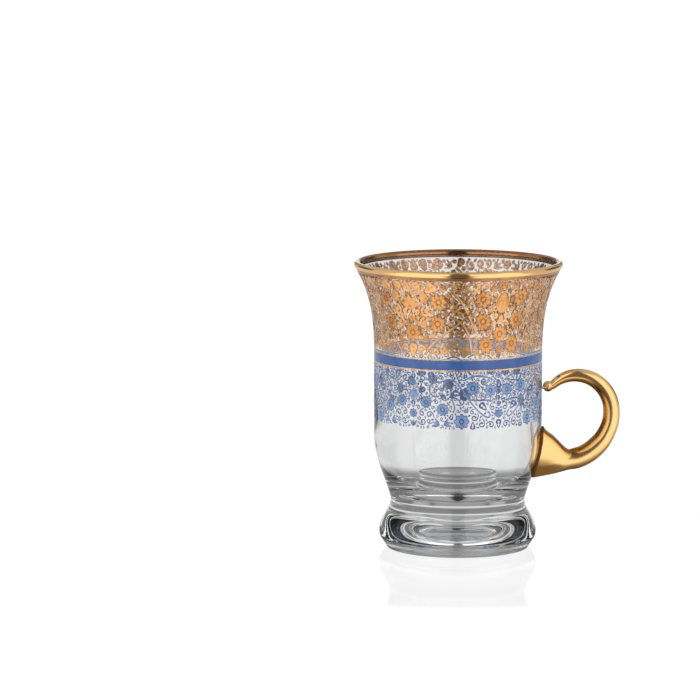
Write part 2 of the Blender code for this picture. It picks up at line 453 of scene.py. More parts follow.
# %% [markdown]
# ## Turning and finishing a piece
#
# Glass is blown and pressed round an axis, so its mesh is an outline spun round that axis. Spinning
# a row of edges a full turn, with the last copy merged to the first, closes it. Vertices on the
# axis are spun onto themselves, so doubles are merged before the faces are turned outwards.


# %% Curves and arcs of an outline
def curve(start, leave, arrive, end, count):
    """Points of a cubic curve after its start, so that curves chain."""
    points = []
    for step in range(1, count + 1):
        t = step / count
        weights = ((1 - t) ** 3, 3 * t * (1 - t) ** 2, 3 * t * t * (1 - t), t**3)
        corners = (start, leave, arrive, end)
        points.append(tuple(sum(w * c[axis] for w, c in zip(weights, corners)) for axis in (0, 1)))
    return points


def chain(points, *legs):
    """An outline with cubic curves added: each leg is leave, arrive, end and count."""
    for leg in legs:
        points = points + curve(points[-1], *leg)
    return points


def arc(centre, radius, first, last, count):
    """Points on a circle between two angles in degrees."""
    angles = np.radians(np.linspace(first, last, count))
    return [(centre[0] + radius * math.cos(a), centre[1] + radius * math.sin(a)) for a in angles]


print("a quarter circle of 3 points:", [tuple(np.round(p, 2)) for p in arc((0, 0), 1, 0, 90, 3)])

# %% Turned meshes and finished pieces
MERGE_DISTANCE = 0.001


def turn(outline, steps, closed=False):
    """Spins an outline of (radius, height) points about the axis."""
    mesh = bmesh.new()
    points = [mesh.verts.new((radius, 0.0, height)) for radius, height in outline]
    edges = [mesh.edges.new(pair) for pair in zip(points, points[1:])]
    if closed:
        edges.append(mesh.edges.new((points[-1], points[0])))
    bmesh.ops.spin(mesh, geom=points + edges, cent=(0, 0, 0), axis=(0, 0, 1), angle=math.tau,
                   steps=steps, use_merge=True, use_duplicate=False)
    bmesh.ops.remove_doubles(mesh, verts=mesh.verts, dist=MERGE_DISTANCE)
    bmesh.ops.recalc_face_normals(mesh, faces=mesh.faces)
    return mesh


def finish_piece(mesh, name, finish, node, sharp=None):
    """Puts a mesh made round the axis, in millimetres, in the frame in place of a node."""
    to_frame = Matrix.Scale(MM, 4) @ Matrix.Translation((AXIS_X, 0, 0))
    bmesh.ops.transform(mesh, matrix=to_frame, verts=mesh.verts)
    data = bpy.data.meshes.new(name)
    mesh.to_mesh(data)
    mesh.free()
    data.shade_smooth()
    if sharp:
        data.set_sharp_from_angle(angle=math.radians(sharp))
    data.materials.append(finish)
    piece = bpy.data.objects.new(name, data)
    bpy.context.scene.collection.objects.link(piece)
    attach(piece, "root")
    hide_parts(node)
    print(f"{name}: {sum(len(face.vertices) - 2 for face in data.polygons)} triangles")


# %% [markdown]
# ## The clear cup
#
# Inside, a low raised boss stands in the middle of the floor, and the wall rises from a rounded
# moat round it. Outside, the shoulder draws in to a neck and swells again to a solid foot, which
# ends in a crease, a straight chamfer and a narrow ring that stands on the table round a shallow
# dome. The cup could be a solid with modifiers, but what one sees in thick glass depends on every
# curvature, so it is one smooth outline with many points, spun in fine steps. Under the prints it
# lies a hair deeper, so that the ink is set into it. Each leg of the outline is a cubic curve: the
# point it leaves towards, the point it arrives from, its end and the number of its points.

# %% Inside of the cup
CUP_STEPS = 240


def cup_inside():
    wall_foot = (BODY_RADIUS - WALL, INSIDE_CURVE_TOP)
    points = chain([(0.0, BOSS_TOP)],
                   ((6.0, BOSS_TOP), (10.6, BOSS_TOP), BOSS_EDGE, 10),
                   ((12.4, BOSS_TOP - 0.9), (12.7, 24.2), BOSS_SHOULDER, 6),
                   ((12.3, 21.6), (12.0, BOSS_FOOT[1] + 0.4), BOSS_FOOT, 14),
                   ((BOSS_FOOT[0] + 3.9, BOSS_FOOT[1]),
                    (wall_foot[0], INSIDE_CURVE_TOP - 10.0), wall_foot, 26))
    heights = np.linspace(FLARE_START - 12.0, FLARE_TOP - 0.6, 36)
    return points + [(wall_radius(z) - WALL, z) for z in heights]


print("inside outline:", len(cup_inside()), "points")


# %% Outside of the cup
def cup_outside():
    heights = np.linspace(FLARE_TOP - 0.3, FLARE_START, 30)
    points = [(wall_radius(z) - PRINT_DEPTH / 2, z) for z in heights]
    points += [(BODY_RADIUS - PRINT_DEPTH / 2, blue_low.z), (BODY_RADIUS, blue_low.z - 0.3),
               (BODY_RADIUS, SHOULDER_TOP)]
    return chain(points,
                 ((BODY_RADIUS, 28.0), (NECK[0], 18.0), NECK, 28),
                 ((NECK[0], 12.3), (FOOT_WIDEST[0], 8.9), FOOT_WIDEST, 20),
                 ((FOOT_WIDEST[0], 4.5), (24.95, 3.8), CREASE, 6))


print("outside outline:", len(cup_outside()), "points")


# %% Underside of the foot
def cup_underside():
    """The outline from below the crease to the middle of the hollow."""
    base = (BASE_RADIUS, CONTACT_HEIGHT)
    contact = (CONTACT_RADIUS, CONTACT_HEIGHT)
    rim = chain([CREASE],
                ((24.6, 3.0), (24.5, 2.9), CHAMFER_TOP, 3),
                ((23.8, 1.9), (23.3, 1.2), CHAMFER_FOOT, 4),
                ((BASE_RADIUS + 0.1, 0.2), (BASE_RADIUS, 0.1), base, 3))
    hollow = ((20.8, 5.0), (17.0, HOLLOW_DEPTH), (0.0, HOLLOW_DEPTH), 32)
    return chain(rim[1:] + [contact], hollow)


lip = arc(BEAD_CENTRE, BEAD_RADIUS - PRINT_DEPTH / 2, *BEAD_ANGLES, 18)
cup_outline = cup_inside() + lip + cup_outside() + cup_underside()
finish_piece(turn(cup_outline, CUP_STEPS), "clear_cup", CLEAR, "glass_body")

# %% [markdown]
# ## The gilt lip
#
# Gold was brushed over the bead of the lip, from its inner side round to the outside, so that
# across the mouth one sees the dull back of it through the glass. It is a thin skin, so it is
# turned from an outline that goes out over the bead and comes back just beneath.

# %% Gild the lip
GILT_INSIDE = 138.0
GILT_OUTSIDE = -46.0
gilt_outline = arc(BEAD_CENTRE, BEAD_RADIUS, GILT_INSIDE, GILT_OUTSIDE, 30)
gilt_outline += arc(BEAD_CENTRE, BEAD_RADIUS - PRINT_DEPTH, GILT_OUTSIDE, GILT_INSIDE, 30)
gilt_skin = turn(gilt_outline, CUP_STEPS, closed=True)
finish_piece(gilt_skin, "gilt_lip", LIP_GOLD, "rim_gilding", sharp=60.0)

# %% [markdown]
# ## The hook handle
#
# A gather of hot glass was pressed to the wall low on the cup as a wedge, drawn out, bent back up
# into a hook and ended in a small ball that just touches the wall; then it was gilded all over. Its
# section changes all the way, from a small circle at the tip to a tall oblong with a bevelled lower
# side at the wall. A curve with a bevel keeps one section, so the ring of a circle is extruded
# again and again and each new ring is moved onto the next section of the hook. The last rings are
# pressed onto the wall, so that the hook is joined to it without a gap.

# %% Sizes of the hook
# Round the loop's centre: degrees, inner radius, outer radius.
LOOP_EDGES = (
    (127.0, 9.72, 12.35), (116.0, 9.82, 12.95), (104.0, 9.95, 13.62), (84.0, 10.08, 14.28),
    (62.0, 10.16, 14.80), (40.0, 10.02, 15.00), (18.0, 9.80, 15.06), (0.0, 9.62, 15.00),
    (-28.0, 9.60, 15.20), (-57.0, 10.02, 16.45), (-80.0, 11.05, 17.75), (-88.0, 11.45, 18.30),
)
TIP_HALF_WIDTH = 1.4
LOOP_HALF_WIDTH = 3.1
BALL_RADIUS = 1.72
BALL_CENTRE = Vector((28.8, 51.55))
BALL_ANGLES = (162.0, 52.0)
# The point that meets the wall: x, height, radius.
NIB = ((26.7, 51.0, 0.28), (27.0, 51.06, 0.30), (27.12, 51.1, 0.42))
# Where the hook widens: x, low, high, half width, squareness, bevel.
WEDGE = (
    (35.6, 24.65, 31.15, 3.20, 2.6, 0.15),
    (34.4, 24.35, 31.75, 3.30, 2.9, 0.30),
    (33.4, 24.10, 32.75, 3.42, 3.3, 0.45),
    (32.2, 23.85, 34.05, 3.58, 4.0, 0.65),
    (30.4, 23.45, 35.75, 3.84, 5.0, 0.85),
    (28.6, 23.10, 37.00, 4.20, 6.0, 1.00),
)
ROOT = (26.0, 22.30, 38.30, 4.55, 6.0, 1.00)
ROOT_SEAM = 0.75
CAP_GAP = 0.03
CAP_RINGS = (0.86, 0.6, 0.3, 0.08)
ROUND = 2.0
BEVEL_START = 0.42
BEVEL_DEPTH = 0.55
HOOK_SIDES = 64
SMOOTHING = 11
print(f"the hook reaches {AXIS_X + LOOP_CENTRE.x + LOOP_EDGES[7][2]:.1f} mm along x")


# %% Sections of the hook
def loop_sections(count):
    """Centre, inward direction, half thickness, half width, squareness and bevel along the hook."""
    table = np.array(LOOP_EDGES)[::-1]
    degrees = np.linspace(LOOP_EDGES[0][0], LOOP_EDGES[-1][0], count)
    ease = np.hanning(SMOOTHING) / np.hanning(SMOOTHING).sum()
    edges = []
    for column in (1, 2):
        radii = np.interp(degrees, table[:, 0], table[:, column])
        padded = np.pad(radii, SMOOTHING // 2, mode="edge")
        edges.append(np.convolve(padded, ease, mode="valid"))
    sections = []
    for step, (angle, inner, outer) in enumerate(zip(np.radians(degrees), *edges)):
        along = step / (count - 1)
        outward = Vector((math.cos(angle), math.sin(angle)))
        centre = LOOP_CENTRE + outward * float(inner + outer) / 2
        half_width = TIP_HALF_WIDTH + (LOOP_HALF_WIDTH - TIP_HALF_WIDTH) * along**0.8
        squareness = ROUND + 0.5 * along**2
        sections.append((centre, -outward, float(outer - inner) / 2, half_width, squareness, 0.0))
    return sections


def wedge_section(x, low, high, half_width, squareness, bevel):
    """An upright section of the wedge, in the same terms as those of the loop."""
    centre = Vector((x, (low + high) / 2))
    return centre, Vector((0.0, 1.0)), (high - low) / 2, half_width, squareness, bevel


def ball_sections(neck, count):
    """Rings of the nib that meets the wall and of the ball, up to the neck."""
    towards_neck = (neck - BALL_CENTRE).normalized()
    inward = Vector((towards_neck.y, -towards_neck.x))
    sections = [(Vector((x, z)), inward, radius, radius, ROUND, 0.0) for x, z, radius in NIB]
    for degrees in np.linspace(*BALL_ANGLES, count):
        radius = BALL_RADIUS * math.sin(math.radians(degrees))
        place = BALL_CENTRE + towards_neck * BALL_RADIUS * math.cos(math.radians(degrees))
        sections.append((place, inward, radius, radius, ROUND, 0.0))
    return sections


loop = loop_sections(96)
sections = ball_sections(loop[0][0], 14) + loop + [wedge_section(*row) for row in WEDGE]
print("the hook has", len(sections), "sections")


# %% Rings from sections
def ring_points(section):
    """Points of a rounded oblong across the hook's path, with its lower side bevelled."""
    centre, inward, half_thickness, half_width, squareness, bevel = section
    power = ROUND / squareness
    points = []
    for step in range(HOOK_SIDES):
        angle = math.tau * step / HOOK_SIDES
        cosine, sine = math.cos(angle), math.sin(angle)
        across = half_thickness * math.copysign(abs(cosine) ** power, cosine)
        sideways = half_width * math.copysign(abs(sine) ** power, sine)
        cut = max(0.0, -across / half_thickness - BEVEL_START) / (1.0 - BEVEL_START)
        widest = half_width * (1.0 - BEVEL_DEPTH * bevel * cut)
        spot = centre + inward * across
        points.append(Vector((spot.x, max(-widest, min(widest, sideways)), spot.y)))
    return points


outer_wall = np.array(sorted((height, radius) for radius, height in cup_outside()))


def pressed(points, offset, shrink=1.0):
    """The ring laid on the outside of the wall, or a little off it."""
    centre = sum(points, Vector()) / len(points)
    laid = []
    for point in points:
        y = centre.y + (point.y - centre.y) * shrink
        z = centre.z + (point.z - centre.z) * shrink
        radius = float(np.interp(z, outer_wall[:, 0], outer_wall[:, 1])) + offset
        laid.append(Vector((math.sqrt(radius**2 - y**2), y, z)))
    return laid


root = ring_points(wedge_section(*ROOT))
print("the root's ring has", len(root), "points")


# %% Loft the hook
def loft(rings):
    """A skin over rings of equally many points, closed at both ends."""
    mesh = bmesh.new()
    sides = len(rings[0])
    ring = bmesh.ops.create_circle(mesh, cap_ends=True, radius=1.0, segments=sides)["verts"]
    for vertex, point in zip(ring, rings[0]):
        vertex.co = point
    for points in rings[1:]:
        edges = [mesh.edges.get((ring[i - 1], ring[i])) for i in range(sides)]
        made = bmesh.ops.extrude_edge_only(mesh, edges=edges)["geom"]
        place_of = {vertex: i for i, vertex in enumerate(ring)}
        following = [None] * sides
        for vertex in [part for part in made if isinstance(part, bmesh.types.BMVert)]:
            beside = [edge.other_vert(vertex) for edge in vertex.link_edges]
            following[next(place_of[old] for old in beside if old in place_of)] = vertex
        ring = following
        for vertex, point in zip(ring, points):
            vertex.co = point
    mesh.faces.new(ring)
    bmesh.ops.recalc_face_normals(mesh, faces=mesh.faces)
    return mesh


hook_rings = [ring_points(section) for section in sections] + [pressed(root, ROOT_SEAM)]
finish_piece(loft(hook_rings), "gilt_hook", HOOK_GOLD, "handle", sharp=50.0)

# %% [markdown]
# ### The root of the hook
#
# Where the hook meets the wall the gold stops, and through the clear wall one sees the bare end of
# the glass gather with the dark back of the gilding round it. That end is a piece of its own: a
# short collar down to the wall, and a cap of ever smaller rings that lies on the wall's outside.

# %% Close the root
root_rings = [pressed(root, ROOT_SEAM), pressed(root, CAP_GAP)]
root_rings += [pressed(root, CAP_GAP, shrink) for shrink in CAP_RINGS]
finish_piece(loft(root_rings), "hook_root", ROOT_GOLD, "handle", sharp=50.0)

# %% [markdown]
# ## Scrollwork: drawing on a flat sheet
#
# The ornament is a traditional one of rosettes, tulips, leaves and curling tendrils, mirrored about
# upright lines and repeated three times round the glass. A shader could draw it, but its finest
# lines are 0.3 mm wide and would be lost in a baked texture, so each flower and tendril is a thin
# shape of its own. All of it is drawn flat, in millimetres, on one half of one repeat; then the
# half is mirrored, repeated and wrapped round the wall. A motif is made once, fitted into a circle
# of radius 1, and stamped wherever a circle of free room is found.


# %% Strips and discs
def strip(mesh, path, widths, margin=0.0):
    """A flat ribbon: a one-row grid whose vertices are moved along a path."""
    first, last = (width + 2 * margin for width in widths)
    count = len(path) - 1
    grid = bmesh.ops.create_grid(mesh, x_segments=count, y_segments=1, size=0.5)["verts"]
    for vertex in grid:
        step = round((vertex.co.x + 0.5) * count)
        side = 1.0 if vertex.co.y > 0 else -1.0
        along = (path[min(step + 1, count)] - path[max(step - 1, 0)]).normalized()
        width = first + (last - first) * step / count
        spot = path[step] + Vector((-along.y, along.x)) * side * width / 2
        vertex.co = (spot.x, spot.y, 0.0)


def disc(mesh, x, y, radius, margin, sides=8):
    """A round dot, such as the end of a curl."""
    made = bmesh.ops.create_circle(mesh, cap_ends=True, radius=radius + margin, segments=sides)
    bmesh.ops.translate(mesh, vec=(x, y, 0.0), verts=made["verts"])


def petal(mesh, margin, base, tip, angle, width, fullness, sides=12):
    """A petal on a line from the centre: from base to tip, at an angle in degrees."""
    base, tip, width = base - margin, tip + margin, width + 2 * margin
    made = bmesh.ops.create_circle(mesh, cap_ends=True, cap_tris=True, radius=1.0, segments=sides)
    for vertex in made["verts"]:
        along = (vertex.co.y + 1) / 2
        swell = math.sin(math.pi * min(1.0, max(0.0, along)) ** fullness) ** 0.2
        vertex.co = (vertex.co.x * width / 2 * swell, base + (tip - base) * along, 0.0)
    turned = Matrix.Rotation(math.radians(angle), 4, "Z")
    bmesh.ops.transform(mesh, matrix=turned, verts=made["verts"])


def sweep(start, heading, length, bend_start, bend_end, steps):
    """Points of a line whose curvature changes evenly, as a drawn tendril's does."""
    place = Vector(start)
    points = [place.copy()]
    angle = math.radians(heading)
    for step in range(steps):
        bend = bend_start + (bend_end - bend_start) * (step + 0.5) / steps
        angle += bend * length / steps
        place = place + Vector((math.cos(angle), math.sin(angle))) * length / steps
        points.append(place.copy())
    return points


ORIGIN = (0.0, 0.0)
print("strips, discs, petals and sweeps are ready")

# %% [markdown]
# ### The motifs
#
# Each flower, leaf or tendril is printed in two inks that overlap: a darker one, in which it is
# drawn a little larger all round, and on it a lighter one, so that a fine dark outline is left. So
# a motif is a function that draws itself with any margin, and it is drawn once for each layer. The
# layers are kept together and fitted into one circle of radius 1.


# %% A motif and the fitting of it
class Motif:
    """A small ornament fitted into a circle of radius 1, drawn once for each layer of ink."""

    def __init__(self, draw, margins, detail=None):
        meshes = {}
        for layer, margin in margins.items():
            meshes[layer] = bmesh.new()
            draw(meshes[layer], margin)
        if detail:
            meshes["accents"] = bmesh.new()
            detail(meshes["accents"])
        spots = [vertex.co for mesh in meshes.values() for vertex in mesh.verts]
        low = Vector([min(spot[axis] for spot in spots) for axis in range(3)])
        high = Vector([max(spot[axis] for spot in spots) for axis in range(3)])
        centre = (low + high) / 2
        radius = max((spot - centre).length for spot in spots)
        fit = Matrix.Scale(1 / radius, 4) @ Matrix.Translation(-centre)
        self.root = math.atan2(-centre.y, -centre.x)
        self.data = {}
        self.covers = []
        for layer, mesh in meshes.items():
            bmesh.ops.transform(mesh, matrix=fit, verts=mesh.verts)
            for face in mesh.faces:
                middle = face.calc_center_median()
                self.covers.append((middle.x, middle.y, 0.5 * math.sqrt(face.calc_area())))
            self.data[layer] = bpy.data.meshes.new("motif")
            mesh.to_mesh(self.data[layer])
            mesh.free()


print("a motif keeps its layers, the room it covers and where its root is")


# %% Flowers
def flower(lobes, first, width, sides=10):
    def draw(mesh, margin):
        for lobe in range(lobes):
            angle = 360 * (lobe + 0.5) / lobes - 90
            petal(mesh, margin, first, 1.0, angle, width, 0.72, sides)
        disc(mesh, 0.0, 0.0, first * 0.62, margin)
    return draw


def tulip(mesh, margin):
    petal(mesh, margin, 0.0, 2.0, 0.0, 0.7, 0.8)
    for side in (-1, 1):
        cup_side = sweep(ORIGIN, 90 - 12 * side, 2.2 + margin, -0.9 * side, 0.75 * side, 7)
        strip(mesh, cup_side, (0.42, 0.26), margin)
        leaf_path = sweep(ORIGIN, 90 - 60 * side, 1.3 + margin, -0.6 * side, 1.6 * side, 5)
        strip(mesh, leaf_path, (0.34, 0.14), margin)
    disc(mesh, 0.0, -0.1, 0.26, margin)


def palmette(mesh, margin):
    for angle, reach in ((0, 2.3), (30, 2.1), (-30, 2.1), (62, 1.75), (-62, 1.75)):
        petal(mesh, margin, 0.35, reach, angle, 0.66, 0.85)
    for side in (-1, 1):
        scroll = sweep((0.0, -0.2), 90 - 80 * side, 2.6, 0.5 * side, 1.7 * side, 9)
        strip(mesh, scroll, (0.3, 0.2), margin)
    disc(mesh, 0.0, -0.1, 0.32, margin, 10)


def almond(mesh, margin):
    petal(mesh, margin, -1.15, 1.5, 0.0, 1.7, 0.8, 20)


def almond_heart(mesh):
    for lobe in range(6):
        petal(mesh, 0.0, 0.14, 0.5, lobe * 60.0, 0.36, 0.75, 8)
    strip(mesh, [Vector((0.0, 0.55)), Vector((0.0, 0.85)), Vector((0.0, 1.25))], (0.14, 0.05))
    for side in (-1, 1):
        rim = sweep((0.08 * side, -1.0), 90 - 72 * side, 2.9, 0.86 * side, 0.33 * side, 14)
        strip(mesh, rim, (0.12, 0.10))


print("flowers, a tulip, a palmette and a medallion")


# %% Tendrils and leaves
def curl(line, side, tight=2.1):
    def draw(mesh, margin):
        path = sweep(ORIGIN, 90.0, 5.2, 0.12 * side, tight * side, 10)
        strip(mesh, path, (line * 0.7, line), margin)
        disc(mesh, path[-1].x, path[-1].y, line * 0.9, margin, 6)
    return draw


def twin_curl(line):
    def draw(mesh, margin):
        for side in (-1, 1):
            path = sweep(ORIGIN, 90 - 30 * side, 4.4, -0.2 * side, 2.3 * side, 9)
            strip(mesh, path, (line * 0.8, line), margin)
            disc(mesh, path[-1].x, path[-1].y, line * 0.8, margin, 6)
    return draw


def leaf(mesh, margin):
    petal(mesh, margin, 0.0, 2.0, 0.0, 0.95, 1.15, 10)


def sprig(mesh, margin):
    strip(mesh, sweep(ORIGIN, 90.0, 2.0, 0.1, 0.3, 4), (0.22, 0.18), margin)
    for first, reach, angle, width in ((0.4, 1.6, -50, 0.6), (0.5, 1.8, 42, 0.6),
                                       (1.5, 2.9, -2, 0.75)):
        petal(mesh, margin, first, reach, angle, width, 0.9, 8)


print("curls, leaves and sprigs")

# %% [markdown]
# ### A sheet that knows its free room
#
# Filling the space between stems by hand would take hundreds of places. Instead the sheet is
# covered by a fine grid of trial spots, and each keeps the size of the largest circle that still
# fits round it, and which way the nearest drawn thing lies. Whatever is drawn shrinks the circles
# near it. The spot with the most room gets the largest motif that fits, turned so that its root
# touches what is nearest, and that is repeated until not even a leaf fits. That is how a
# draughtsman fills a ground too: flowers on their stems first, then tendrils that branch off, then
# leaves.


# %% The sheet
TRIAL_STEP = 0.16
LUCK = 0.05


class Sheet:
    """Half of one repeat of a print, from x = 0 to its width and from y = 0 to its height."""

    def __init__(self, width, height, gap, seed):
        self.gap = gap
        self.height = height
        self.layers = {}
        self.chance = np.random.default_rng(seed)
        across = np.arange(TRIAL_STEP / 2, width, TRIAL_STEP)
        up = np.arange(TRIAL_STEP / 2, height, TRIAL_STEP)
        self.x, self.y = np.meshgrid(across, up)
        self.room = np.minimum(np.minimum(self.x, width - self.x),
                               np.minimum(self.y, height - self.y)) - gap / 2
        self.nearest = np.full(self.room.shape, math.pi / 2)

    def layer(self, name, on_axis=False):
        """The mesh of one ink, or of what stands on a mirror axis in that ink."""
        return self.layers.setdefault((name, on_axis), bmesh.new())

    def take(self, x, y, radius):
        """Shrinks the room round every trial spot near a circle that is now covered."""
        apart = np.hypot(self.x - x, self.y - y) - radius - self.gap
        closer = apart < self.room
        self.room[closer] = apart[closer]
        self.nearest[closer] = np.arctan2(y - self.y, x - self.x)[closer]

    def stamp(self, motif, x, y, angle, size, on_axis=False):
        """Puts a motif down, turned by an angle in degrees and fitted to a circle."""
        matrix = Matrix.Translation((x, y, 0.0)) @ Matrix.Rotation(math.radians(angle), 4, "Z")
        matrix = matrix @ Matrix.Scale(size, 4)
        for name, data in motif.data.items():
            mesh = self.layer(name, on_axis)
            before = len(mesh.verts)
            mesh.from_mesh(data)
            mesh.verts.ensure_lookup_table()
            bmesh.ops.transform(mesh, matrix=matrix, verts=mesh.verts[before:])
        for middle_x, middle_y, radius in motif.covers:
            spot = matrix @ Vector((middle_x, middle_y, 0.0))
            self.take(spot.x, spot.y, radius * size)

    def outlined_stem(self, path, width, face, outline, share):
        """Draws a stem and its face, a share as wide, and takes the room along it."""
        strip(self.layer(outline), path, (width, width))
        strip(self.layer(face), path, (width * share, width * share))
        for spot in path:
            self.take(spot.x, spot.y, width / 2)

    def place(self, motif, x, y, angle, size):
        """Stamps a motif at a chosen place, no larger than the room there."""
        room = float(self.room[int(y / TRIAL_STEP), int(x / TRIAL_STEP)])
        if room > size / 2:
            self.stamp(motif, x, y, angle, min(size, room))

    def column(self, x, motifs):
        """Stacks motifs on a mirror axis, scaled so that together they fill its height."""
        free = self.height - self.gap * (len(motifs) + 1)
        scale = free / sum(2 * size for _, _, size in motifs)
        y = 0.0
        for motif, angle, size in motifs:
            y += self.gap + size * scale
            self.stamp(motif, x, y, angle, size * scale, on_axis=True)
            y += size * scale

    def fill(self, choices, limit, least, most=1000):
        """Stamps motifs where there is most room, in sizes from least to limit, and counts them."""
        luck = self.chance.random(self.room.shape) * LUCK
        for count in range(most):
            best = np.unravel_index(np.argmax(np.minimum(self.room, limit) + luck), luck.shape)
            size = float(min(self.room[best], limit))
            if size < least:
                return count
            motif = choices[int(self.chance.integers(len(choices)))]
            turned = math.degrees(float(self.nearest[best]) - motif.root)
            self.stamp(motif, float(self.x[best]), float(self.y[best]), turned, size)
        return most


print("the sheet is ready")

# %% [markdown]
# ### Wrapping the print round the wall
#
# The half is mirrored, what stands on the mirror axes is added once, and the whole is repeated.
# Across the sheet, millimetres become an angle about the axis; up the sheet, they are height, and
# the radius is the wall's there. The sheet is then given its small thickness, most of it set into
# the glass.

# %% Mirror, repeat and wrap
REPEATS = 3
HALF_ANGLE = math.pi / REPEATS
DEGREES_TO_FRONT = -90.0
AXIS_LEFT_OF_FRONT = 33.0
FIRST_AXIS = math.radians(DEGREES_TO_FRONT - AXIS_LEFT_OF_FRONT)


def wrap(sheet, layer, width, bottom, lift):
    """Turns the drawn half into the whole print, on the wall and proud of it by lift."""
    flat = sheet.layer(layer)
    drawn = flat.verts[:] + flat.edges[:] + flat.faces[:]
    copied = bmesh.ops.duplicate(flat, geom=drawn)["geom"]
    mirrored = [part for part in copied if isinstance(part, bmesh.types.BMVert)]
    bmesh.ops.scale(flat, vec=(-1, 1, 1), verts=mirrored)
    on_axis = bpy.data.meshes.new("on axis")
    sheet.layer(layer, True).to_mesh(on_axis)
    flat.from_mesh(on_axis)
    one = flat.verts[:] + flat.edges[:] + flat.faces[:]
    for repeat in range(1, REPEATS):
        again = bmesh.ops.duplicate(flat, geom=one)["geom"]
        moved = [part for part in again if isinstance(part, bmesh.types.BMVert)]
        bmesh.ops.translate(flat, vec=(2 * width * repeat, 0, 0), verts=moved)
    flat.normal_update()
    bmesh.ops.reverse_faces(flat, faces=[face for face in flat.faces if face.normal.z < 0])
    for vertex in flat.verts:
        angle = FIRST_AXIS + vertex.co.x / width * HALF_ANGLE
        height = bottom + vertex.co.y
        radius = wall_radius(height) + lift
        vertex.co = (radius * math.cos(angle), radius * math.sin(angle), height)
    return flat


def ink_piece(wrapped, name, finish, node):
    """A wrapped sheet given its thickness and finished."""
    bmesh.ops.solidify(wrapped, geom=wrapped.faces[:], thickness=PRINT_DEPTH)
    finish_piece(wrapped, name, finish, node, sharp=40.0)


print("a repeat takes", 360 // REPEATS, "degrees")

# %% [markdown]
# ### Blue scrollwork
#
# Below the ring runs a band of blue: long stems sweep down from the ring, roll up round rosettes
# and send out small curls, and the lower edge is left free, so that flowers and tendrils make it.
# Motifs are stacked on the two mirror axes first, then come the stems with their flowers, and the
# rest of the ground is filled.

# %% Motifs of the blue band
OUTLINED = {"flowers": 0.0, "outlines": 0.11}
STROKE = {"tendrils": 0.0}
ROSETTE = Motif(flower(8, 0.34, 0.50), OUTLINED)
DAISY = Motif(flower(10, 0.38, 0.40), OUTLINED)
BLOSSOM = Motif(flower(5, 0.28, 0.80), OUTLINED)
TULIP = Motif(tulip, OUTLINED)
PALMETTE = Motif(palmette, OUTLINED)
CURLS = [Motif(curl(0.34, side), STROKE) for side in (-1, 1)]
TWIN_CURL = Motif(twin_curl(0.32), STROKE)
SPRIG = Motif(sprig, STROKE)
LEAF = Motif(leaf, STROKE)
print("a rosette covers", len(ROSETTE.covers), "spots")

# %% Layout of the blue band
BLUE_HEIGHT = blue_high.z - blue_low.z
BLUE_WIDTH = BODY_RADIUS * HALF_ANGLE
BLUE_GAP = 0.24
BLUE_STEM = 0.4
STEM_STEPS = 28
HALF_LOBE = 22.5
# Columns, from the bottom: motif, turn in degrees, size.
BLUE_FIRST_COLUMN = (
    (TULIP, 0, 1.6), (ROSETTE, HALF_LOBE, 1.6), (TWIN_CURL, 0, 1.3), (PALMETTE, 0, 2.2),
    (DAISY, 0, 1.2), (TWIN_CURL, 180, 1.3),
)
BLUE_LAST_COLUMN = (
    (TWIN_CURL, 0, 1.5), (PALMETTE, 0, 1.9), (ROSETTE, HALF_LOBE, 0.9), (LEAF, 0, 0.9),
    (LEAF, 180, 0.9), (TWIN_CURL, 180, 1.4), (BLOSSOM, 0, 1.2),
)
# Stems: the four corners of a cubic curve.
BLUE_STEMS = (
    ((9.0, 14.9), (15.5, 19.2), (16.5, 8.5), (23.4, 4.2)),
    ((23.4, 4.2), (25.2, 3.0), (25.6, 5.2), (24.2, 5.8)),
    ((9.4, 15.1), (3.6, 15.4), (5.4, 9.4), (8.6, 10.6)),
    ((16.4, 11.3), (19.0, 8.0), (22.6, 10.2), (25.6, 8.9)),
    ((13.4, 14.4), (10.6, 9.8), (15.2, 8.0), (13.2, 5.6)),
    ((16.8, 15.7), (19.4, 17.8), (23.8, 17.4), (25.8, 15.6)),
)
# Motifs in the ground: motif, x, y, turn in degrees, size.
BLUE_GROUND = (
    (ROSETTE, BLUE_WIDTH - 2.9, 12.4, HALF_LOBE, 2.5), (ROSETTE, 15.9, 2.7, HALF_LOBE, 2.6),
    (DAISY, 4.4, 8.6, HALF_LOBE, 2.0), (DAISY, 19.4, 13.2, HALF_LOBE, 2.3),
    (DAISY, 9.9, 6.4, HALF_LOBE, 2.1), (ROSETTE, 12.4, 11.2, HALF_LOBE, 1.5),
    (BLOSSOM, 20.6, 7.4, 0.0, 1.4), (DAISY, 7.9, 17.6, HALF_LOBE, 1.5),
    (BLOSSOM, 13.6, 18.0, 0.0, 1.4), (TULIP, 7.9, 1.9, 65.0, 1.7), (TULIP, 11.3, 2.0, -65.0, 1.6),
    (TULIP, 16.8, 18.2, 140.0, 1.3), (TULIP, 22.4, 18.4, 200.0, 1.3), (TULIP, 17.3, 6.2, 30.0, 1.3),
    (TULIP, 9.6, 12.9, 30.0, 1.2),
)
print(f"half a repeat of blue is {BLUE_WIDTH:.1f} by {BLUE_HEIGHT:.1f} mm")

